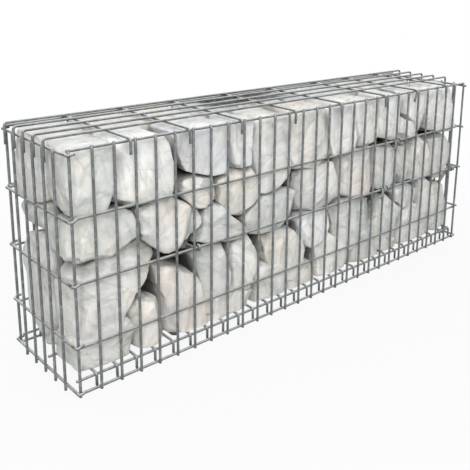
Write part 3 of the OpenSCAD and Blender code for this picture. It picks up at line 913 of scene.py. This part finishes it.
def beds(centre, facing, rng):
    """Flat sides of the basket that a stone lies against: axis, side, level, fade and share."""
    lid_share = rng.uniform(*LID_SHARES) if facing[1] < 0 else BACK_LID_SHARE
    known = [(2, 1, TOP_RAIL - WIRE_R, LID_FADE, lid_share)]
    known.append((2, -1, BASE_CROSS_Z + WIRE_R, BASE_FADE, BASE_SHARE))
    if at_back_top(centre, facing):
        known.append((1, 1, RAIL_Y - WIRE_R, SIDE_FADE, SIDE_SHARE))
    return known


def bedded(places, ways, known):
    """Places on a stone, stretched towards the flat sides that are near."""
    places = places.copy()
    for axis, side, level, fade, share in known:
        step = level - places[:, axis]
        near = smooth_step(*BED_FACING, side * ways[:, axis]) * (1 - smooth_step(*fade, np.abs(step)))
        places[:, axis] += share * near * step
    return places


def dark_patch_share(places, patch):
    """How much places are darkened: most on the top of the fill, behind its middle."""
    x, y, z = places.T
    uneven = DARK_PATCH_UNEVEN * patch
    amount = smooth_step(*DARK_PATCH_EDGE, y + uneven)
    amount *= 1 - smooth_step(*DARK_PATCH_SPAN, np.abs(x - DARK_PATCH_MIDDLE) + uneven)
    return amount * (1 - smooth_step(*DARK_PATCH_DEPTH, TOP_RAIL - z + uneven))


def broken(used, centre, normals, distances, facing, rng):
    """A solid's planes with chips, shavings and broad breaks added: normals and distances."""
    corners = used[rng.choice(len(used), CHIPS)] - centre
    chips = rows_to_unit(rows_to_unit(corners) + CHIP_TILT * rng.normal(size=(CHIPS, 3)))
    spans = ((used - centre) @ chips.T).max(axis=0)
    shavings = rows_to_unit(rng.normal(size=(SHAVINGS, 3)))
    depths = 1 / pulls(shavings, normals, distances).max(axis=1)
    sides = (unit(facing), np.array((-1.0, 0, 0)), np.array((0, 0, 1.0)))
    breaks = [facets(way, normals, distances, rng) for way in sides]
    spans = spans * rng.uniform(*CHIP_SHARES, CHIPS)
    depths = depths * rng.uniform(*SHAVING_SHARES, SHAVINGS)
    normals = np.concatenate([normals, chips, shavings, *(b[0] for b in breaks)])
    distances = np.concatenate([distances, spans, depths, *(b[1] for b in breaks)])
    return normals, distances


def layered(places, bed, grain, spans, third, seed, octaves):
    """Noise drawn out along the bedding of a stone, with spans across the bed and along the grain."""
    across = [places @ bed / spans[0], places @ grain / spans[1], third]
    return fractal(np.stack(across, axis=1), seed, octaves)


def weighed(weights, forms):
    """Sum of named forms, each times its weight."""
    return sum(weight * forms[name] for name, weight in weights.items())


def stone(points, triangles, sphere, facing, tint, seed):
    """A broken stone on a convex CAD solid: its points, triangles, colours and texture shift."""
    rng = np.random.default_rng(seed)
    used = points[np.unique(triangles)]
    centre = used.mean(axis=0)
    half = (used.max(axis=0) - used.min(axis=0)) / 2
    ways, faces = sphere
    ways = rows_to_unit((ways + LEAN_TO_FRONT * facing) * half)

    normals, distances = bounding_planes(points, triangles, centre)
    distances = distances + GROWTH
    limit = 1 / pulls(ways, normals, distances).max(axis=1)
    filled = hollow_growth(centre, ways, limit, facing)
    flats = beds(centre, facing, rng)
    normals, distances = broken(used, centre, normals, distances, facing, rng)
    bend = np.stack([noise(ways * BEND_SCALE + BEND_SHIFT * k, seed + k) for k in range(3)], axis=1)
    turned = rows_to_unit(ways + BEND_SHARE * bend)
    size, edge, plane = reach(turned, normals, distances, rng.uniform(*SHARPNESS))
    size = size + filled

    local = ways * size[:, None]
    bed = unit(rng.normal(size=3) + BED_UPRIGHT)
    grain = unit(np.cross(bed, rng.normal(size=3)))
    swell = fractal(local / SWELL_SPAN, seed + 11, 2)
    lumps = fractal(local / LUMP_SPAN, seed + 12, 3)
    fine = noise(local / FINE_SPAN, seed + 14)
    folds = layered(local, bed, grain, CREASE_SPANS, CREASE_SWELL * swell, seed + 15, 2)
    crease = smooth_step(*CREASE_NEAR, 1 - np.abs(folds))
    forms = {"swell": swell, "lumps": lumps, "fine": fine, "edge": edge, "crease": crease}
    size = np.minimum(size + MM * weighed(RELIEF, forms), limit + filled)
    local = bedded(centre + ways * size[:, None], ways, flats) - centre

    base = linear(TINTS[tint]) * rng.uniform(*TINT_VARIES)
    streak = layered(local + WARP * bend, bed, grain, STREAK_SPANS, swell, seed + 21, 3)
    patch = fractal(local / PATCH_SPAN, seed + 22, 3)
    # Stone tone, with painted shade in dips and creases and a painted highlight on edges
    shade = 1 + weighed(SHADES, {**forms, "streak": streak, "patch": patch})
    # Painted light and shade: each plane a little lighter or darker at random
    shade += rng.normal(0, PLANE_PAINTED_SHADING, len(normals))[plane]
    # Painted shade, deeper inside the fill
    shade *= 1 - INNER_PAINTED_SHADE * smooth_step(*INNER_SHADE_DEPTHS, depth_inside(centre + local))
    drift = fractal(local / DRIFT_SPAN, seed + 23, 2)
    colour = base * shade[:, None] * (1 + drift[:, None] * WARMTH)
    stain = STAIN_SHARE * smooth_step(*STAIN_PATCHES, patch) * smooth_step(*STAIN_STREAKS, streak)
    colour = colour + (linear(STAIN) - colour) * stain[:, None]
    # Darker patch on the top of the back layer, behind the middle
    if at_back_top(centre, facing):
        uneven = 1 - DARK_PATCH_STREAKS + DARK_PATCH_STREAKS * np.clip(streak, -1, 1)
        dark_patch = dark_patch_share(centre + local, patch) * uneven
        colour = colour + (linear(DARK_PATCH) - colour) * dark_patch[:, None]
    return centre + local, faces, np.clip(colour, 0, BRIGHTEST), rng.uniform()


def paint(mesh, colours, shifts):
    """Sets the tint of every point of a mesh, and one value a stone that shifts its texture."""
    shift = np.repeat(shifts, [len(c) for c in colours]).astype(np.float32)
    mesh.attributes.new("stone_shift", "FLOAT", "POINT").data.foreach_set("value", shift)
    colours = np.concatenate(colours)
    solid = np.column_stack([colours, np.ones(len(colours))]).astype(np.float32)
    mesh.color_attributes.new("tint", "FLOAT_COLOR", "POINT").data.foreach_set("color", solid.ravel())


def stone_group(name, sphere, facing, tints, seed):
    """All the stones of a CAD node as one piece."""
    pile = Pile()
    colours, shifts = [], []
    for number, (points, triangles) in enumerate(solids_of(name)):
        tint = tints[number % len(tints)]
        made, faces, colour, shift = stone(points, triangles, sphere, facing, tint, seed + 97 * number)
        pile.add(made, faces)
        colours.append(colour)
        shifts.append(shift)
    mesh = pile.mesh(name)
    paint(mesh, colours, shifts)
    place_piece(name, mesh, limestone, "limestone", name)


RUBBLE_DETAIL = 6
RUBBLE_TRIES = 24000
RUBBLE_COUNT = 90
RUBBLE_FACES = 16
RUBBLE_REACH = 1.5
RUBBLE_SWELL = 1.25
RUBBLE_SHARES = (0.7, 1.0)
RUBBLE_SHARPNESS = 40
RUBBLE_SHADE_TONES = (0.12, 0.3)
RUBBLE_SIZES = (6 * MM, 30 * MM)
RUBBLE_LOW = np.array((-HALF_LENGTH + 30 * MM, -62 * MM, 30 * MM))
RUBBLE_HIGH = np.array((HALF_LENGTH - 45 * MM, 80 * MM, TOP_RAIL - 45 * MM))


def rubble(name, sphere, seed):
    """Small stones wedged in the hollows between the large ones, largest hollows first, tinted dark as
    painted shade.
    """
    rng = np.random.default_rng(seed)
    spots = rng.uniform(RUBBLE_LOW, RUBBLE_HIGH, size=(RUBBLE_TRIES, 3))
    room = np.minimum(RUBBLE_SIZES[1], depth_inside(spots) / RUBBLE_REACH - WIRE_R)
    for centre, normals, distances, _ in every_stone:
        room = np.minimum(room, clearance(spots, centre, normals, distances))
    pile = Pile()
    colours = []
    while len(colours) < RUBBLE_COUNT and room.max() > RUBBLE_SIZES[0]:
        best = int(np.argmax(room))
        spot, size = spots[best], room[best]
        room = np.minimum(room, np.linalg.norm(spots - spot, axis=1) - size)
        normals = rows_to_unit(rng.normal(size=(RUBBLE_FACES, 3)))
        distances = RUBBLE_SWELL * size * rng.uniform(*RUBBLE_SHARES, RUBBLE_FACES)
        ways, faces = sphere
        reached = np.minimum(reach(ways, normals, distances, RUBBLE_SHARPNESS)[0], RUBBLE_REACH * size)
        pile.add(spot + ways * reached[:, None], faces)
        # Dark grey tint: painted shade of the deep hollows
        tint = linear(TINTS["grey"]) * rng.uniform(*RUBBLE_SHADE_TONES)
        colours.append(np.tile(tint, (len(ways), 1)))
    mesh = pile.mesh(name)
    paint(mesh, colours, rng.uniform(size=len(colours)))
    place_piece(name, mesh, limestone, "limestone")


FRONT = np.array((-0.25, -1.0, 0.2))
BACK = np.array((0.0, 1.0, 0.3))
front_sphere = geodesic(FRONT_DETAIL)
back_sphere = geodesic(BACK_DETAIL)
for number, (name, tints) in enumerate(FRONT_TINTS.items()):
    stone_group(name, front_sphere, FRONT, tints, 10000 + 1000 * number)
for number, (name, tints) in enumerate(BACK_TINTS.items()):
    stone_group(name, back_sphere, BACK, tints, 40000 + 1000 * number)
rubble("rubble", geodesic(RUBBLE_DETAIL), 70000)

# Floor, light and camera

FLOOR_SIZE = 12.0
FLOOR_COLOUR = (0.55, 0.55, 0.54, 1)
FLOOR_ROUGHNESS = 0.9
FLOOR_SHINE = 0.1
FLOOR_WHITE = 0.9
FLOOR_FADE = (0.5, 1.6)
WHITE = (1, 1, 1, 1)


def seen_rays(node, link):
    """Socket that is 1 for rays that show the background: camera, gloss and glass."""
    rays = node("ShaderNodeLightPath")
    total = rays.outputs["Is Camera Ray"]
    for name in ("Is Glossy Ray", "Is Transmission Ray"):
        either = node("ShaderNodeMath", operation="MAXIMUM")
        link(total, either.inputs[0])
        link(rays.outputs[name], either.inputs[1])
        total = either.outputs["Value"]
    return total


def floor():
    """Pale floor that fades to white around the object and still takes a soft shadow."""
    half = FLOOR_SIZE / 2
    mesh = bpy.data.meshes.new("floor")
    corners = [(-half, -half, 0), (half, -half, 0), (half, half, 0), (-half, half, 0)]
    mesh.from_pydata(corners, [], [(0, 1, 2, 3)])
    plane = bpy.data.objects.new("floor", mesh)
    bpy.context.scene.collection.objects.link(plane)
    material, node, link, shader = new_material("floor")
    shader.inputs["Base Color"].default_value = FLOOR_COLOUR
    shader.inputs["Roughness"].default_value = FLOOR_ROUGHNESS
    shader.inputs["Specular IOR Level"].default_value = FLOOR_SHINE
    white = node("ShaderNodeEmission", Strength=1.0)
    white.inputs["Color"].default_value = WHITE
    place = node("ShaderNodeTexCoord")
    away = node("ShaderNodeVectorMath", operation="LENGTH")
    link(place.outputs["Object"], away.inputs[0])
    amount = node("ShaderNodeMath", operation="MULTIPLY")
    link(seen_rays(node, link), amount.inputs[0])
    link(mapped(node, link, away.outputs["Value"], *FLOOR_FADE, FLOOR_WHITE, 1.0), amount.inputs[1])
    mix = node("ShaderNodeMixShader")
    link(amount.outputs["Value"], mix.inputs["Fac"])
    link(shader.outputs["BSDF"], mix.inputs[1])
    link(white.outputs["Emission"], mix.inputs[2])
    output = material.node_tree.nodes["Material Output"]
    link(mix.outputs["Shader"], output.inputs["Surface"])
    mesh.materials.append(material)


# Lamps: place, target, length of a side and watts
LAMPS = {
    "key": ((-1.7, -2.3, 2.1), (-0.2, 0, 0.15), 1.4, 69),
    "fill": ((2.4, -1.8, 1.6), (0, 0, 0.2), 2.0, 7),
    "back": ((0.8, 2.6, 1.9), (0, 0, 0.2), 2.0, 22),
}


def area_lamp(name, place, target, side, watts):
    """A soft box that faces a target."""
    lamp = bpy.data.lights.new(name, "AREA")
    lamp.shape = "RECTANGLE"
    lamp.size = side
    lamp.size_y = side
    lamp.energy = watts
    thing = bpy.data.objects.new(name, lamp)
    thing.location = place
    thing.rotation_euler = (Vector(target) - Vector(place)).to_track_quat("-Z", "Y").to_euler()
    bpy.context.scene.collection.objects.link(thing)


SKY_LEVELS = (0.3, 1.02)
SKY_HEIGHTS = (-0.1, 0.9)


def sky():
    """White where it is seen or mirrored, and a soft overcast light that is stronger from above."""
    world = bpy.data.worlds.new("sky")
    world.use_nodes = True
    bpy.context.scene.world = world
    node, link = node_maker(world.node_tree), world.node_tree.links.new
    back = world.node_tree.nodes["Background"]
    back.inputs["Color"].default_value = WHITE
    way = node("ShaderNodeTexCoord")
    parts = node("ShaderNodeSeparateXYZ")
    link(way.outputs["Generated"], parts.inputs["Vector"])
    level = node("ShaderNodeMapRange")
    link(seen_rays(node, link), level.inputs["Value"])
    link(mapped(node, link, parts.outputs["Z"], *SKY_HEIGHTS, *SKY_LEVELS), level.inputs["To Min"])
    level.inputs["To Max"].default_value = 1.0
    link(level.outputs["Result"], back.inputs["Strength"])


# Camera: where it stands, its axes to the right and down, and its focal length and centre in pixels
IMAGE = 470
CAMERA_PLACE = Vector((-908.4, -961.0, 623.3)) * MM
CAMERA_RIGHT = Vector((0.72729, -0.68602, 0.02066))
CAMERA_DOWN = Vector((-0.14418, -0.18215, -0.97264))
FOCAL_PIXELS = 691.7
CENTRE_PIXELS = (280.0, 135.2)
SENSOR = 36.0


def camera():
    """The camera, with its centre shifted as in a cropped picture."""
    lens = bpy.data.cameras.new("camera")
    lens.sensor_fit = "HORIZONTAL"
    lens.sensor_width = SENSOR
    lens.lens = FOCAL_PIXELS * SENSOR / IMAGE
    lens.shift_x = 0.5 - CENTRE_PIXELS[0] / IMAGE
    lens.shift_y = CENTRE_PIXELS[1] / IMAGE - 0.5
    thing = bpy.data.objects.new("camera", lens)
    up = -CAMERA_DOWN
    back = CAMERA_RIGHT.cross(up)
    turn = Matrix((CAMERA_RIGHT, up, back)).transposed()
    thing.matrix_world = Matrix.Translation(CAMERA_PLACE) @ turn.to_4x4()
    bpy.context.scene.collection.objects.link(thing)
    bpy.context.scene.camera = thing


bpy.context.scene.view_settings.view_transform = "Standard"
floor()
sky()
for name, settings in LAMPS.items():
    area_lamp(name, *settings)
camera()
